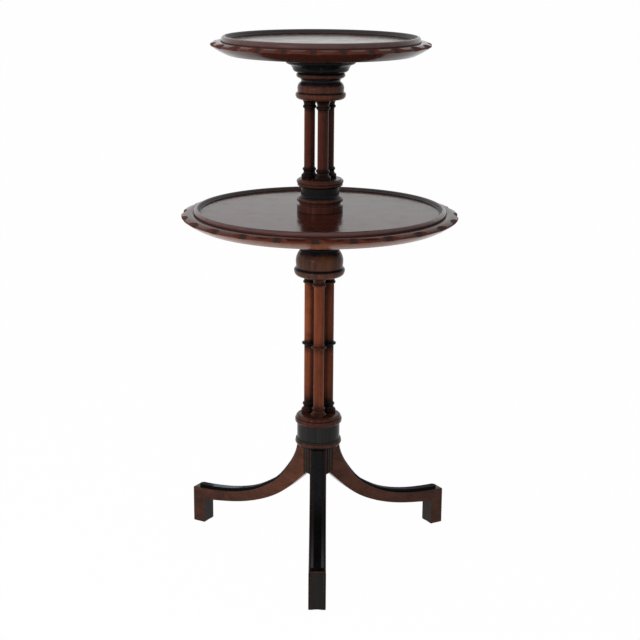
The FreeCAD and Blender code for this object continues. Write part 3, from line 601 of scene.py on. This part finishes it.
for leg, angle in (("front", -90), ("rear_right", 30), ("rear_left", 150)):
    name = "leg mahogany " + leg
    finishes[name] = polished_timber(
        name, lay=leg_lay(angle), margins=dict(angle=angle, margin=(26, 15, 12)),
        bands=dict(node="leg_" + leg, covers=LEG_COVERS), **LEG)

PIECE_FINISHES = {
    "front column mahogany": ["lower_column_front"],
    "column mahogany": ["lower_column_rear_right", "lower_column_rear_left"],
    "upper column mahogany": ["upper_column_a", "upper_column_b", "upper_column_c"],
    "lower cap mahogany": ["lower_cap"],
    "upper cap mahogany": ["upper_cap"],
    "neck ring mahogany": ["upper_neck_ring"],
    "hub mahogany": ["hub"],
    "moulding mahogany": ["base_collar", "base_plinth", "pedestal_drum", "pedestal_ring",
                          "pedestal_top"],
    "lower tray mahogany": ["lower_tray_board"],
    "upper tray mahogany": ["upper_tray_board"],
    "rim mahogany": ["lower_tray_rim", "upper_tray_rim"],
    "ebonised strip": ["leg_strip_front"],
    "ebonised rear strip": ["leg_strip_rear_right"],
    "rear strip with scuff and painted sheen": ["leg_strip_rear_left"],
    "ebonised facing": ["foot_facing_front", "foot_facing_rear_right", "foot_facing_rear_left"],
    "ebonised drum": ["base_drum"],
    "ebonised wood": ["hub_drop", "collar_ring", "lower_neck_ring", "lower_tray_boss",
                      "pedestal_neck", "upper_tray_boss"],
    "plain wood": ["stand_core_dowel", "stage_core_dowel"],
    "brass": ["tray_thrust_washer", "stage_thrust_washer", "lower_tray_bush", "stage_bush"],
    "steel": ["spindle", "lower_tray_screws", "upper_tray_screws"],
    "leg mahogany front": ["leg_front"],
    "leg mahogany rear_right": ["leg_rear_right"],
    "leg mahogany rear_left": ["leg_rear_left"],
}
for finish, names in PIECE_FINISHES.items():
    for name in names:
        materials = nodes[name].data.materials
        materials.clear()
        materials.append(finishes[finish])


# Floor, light and camera

WHITE = (1, 1, 1, 1)
FLOOR_WIDTH = 60
FLOOR_DROP = 0.0004
FLOOR_COLOUR = (0.93, 0.93, 0.93, 1)
FLOOR_WHITE_SHARE = 0.985
ROOM_LIGHT = (0.42, 0.42, 0.42, 1)
LAMP_AIM = (0, 0, 0.6)
CAMERA_PLACE = (0.0018, -2.930, 1.2826)
CAMERA_DOWN = 14.99
CAMERA_LEAN = 0.42
CAMERA_REACH = 200
SENSOR_WIDTH = 36
FOCAL_LENGTH_PX = 1485.3
PHOTO_WIDTH_PX = 640


def background_rays(tree):
    """1 for the rays that show the white background: seen, mirrored or through glass."""
    rays = add(tree, "ShaderNodeLightPath").outputs
    shown = work_out(tree, "MAXIMUM", rays["Is Camera Ray"], rays["Is Glossy Ray"])
    return work_out(tree, "MAXIMUM", shown, rays["Is Transmission Ray"])


def make_floor():
    """White floor that keeps a trace of the table's shadow."""
    bpy.ops.mesh.primitive_plane_add(size=FLOOR_WIDTH, location=(0, 0, -FLOOR_DROP))
    floor = bpy.context.object
    floor.name = "studio_floor"
    made = bpy.data.materials.new("studio floor")
    made.use_nodes = True
    tree = made.node_tree
    tree.nodes.clear()
    lit = add(tree, "ShaderNodeBsdfDiffuse", {"Color": FLOOR_COLOUR}).outputs[0]
    white = add(tree, "ShaderNodeEmission", {"Color": WHITE, "Strength": 1.0}).outputs[0]
    share = work_out(tree, "MULTIPLY", background_rays(tree), FLOOR_WHITE_SHARE)
    seen = add(tree, "ShaderNodeMixShader", {0: share, 1: lit, 2: white}).outputs[0]
    add(tree, "ShaderNodeOutputMaterial", {"Surface": seen})
    floor.data.materials.append(made)


def make_world():
    """Room that shows white, and lights the table with a softer grey."""
    world = bpy.data.worlds.new("white studio")
    bpy.context.scene.world = world
    world.use_nodes = True
    tree = world.node_tree
    tree.nodes.clear()
    colour = blend_colours(tree, background_rays(tree), ROOM_LIGHT, WHITE)
    room = add(tree, "ShaderNodeBackground", {"Color": colour, "Strength": 1.0}).outputs[0]
    add(tree, "ShaderNodeOutputWorld", {"Surface": room})


def soft_box(name, place, width, height, watts, mirrored=False):
    """A rectangular lamp that looks at the table, and may show in its polish."""
    data = bpy.data.lights.new(name, "AREA")
    data.shape = "RECTANGLE"
    data.size, data.size_y = width, height
    data.energy = watts
    lamp = bpy.data.objects.new(name, data)
    bpy.context.scene.collection.objects.link(lamp)
    lamp.visible_glossy = mirrored
    lamp.location = place
    lamp.rotation_mode = "QUATERNION"
    lamp.rotation_quaternion = (Vector(LAMP_AIM) - Vector(place)).to_track_quat("-Z", "Y")


def make_camera():
    data = bpy.data.cameras.new("camera")
    data.sensor_width = SENSOR_WIDTH
    data.lens = FOCAL_LENGTH_PX * SENSOR_WIDTH / PHOTO_WIDTH_PX
    data.clip_end = CAMERA_REACH
    camera = bpy.data.objects.new("camera", data)
    bpy.context.scene.collection.objects.link(camera)
    camera.location = CAMERA_PLACE
    camera.rotation_mode = "QUATERNION"
    down = Quaternion((1, 0, 0), math.radians(90 - CAMERA_DOWN))
    lean = Quaternion((0, 0, 1), math.radians(CAMERA_LEAN))
    camera.rotation_quaternion = down @ lean
    bpy.context.scene.camera = camera


make_floor()
make_world()
soft_box("key lamp", place=(-1.84, -2.62, 1.38), width=0.45, height=0.45, watts=34)
soft_box("glint lamp", place=(-1.84, -2.62, 1.39), width=0.70, height=0.35, watts=7,
         mirrored=True)
soft_box("fill lamp", place=(-1.2, -3.2, 1.9), width=1.2, height=1.2, watts=20)
soft_box("left wall", place=(-3.4, -0.6, 1.6), width=2.0, height=2.4, watts=50)
soft_box("right wall", place=(3.4, -1.6, 1.6), width=1.6, height=2.2, watts=12)
make_camera()
bpy.context.scene.view_settings.view_transform = "Standard"
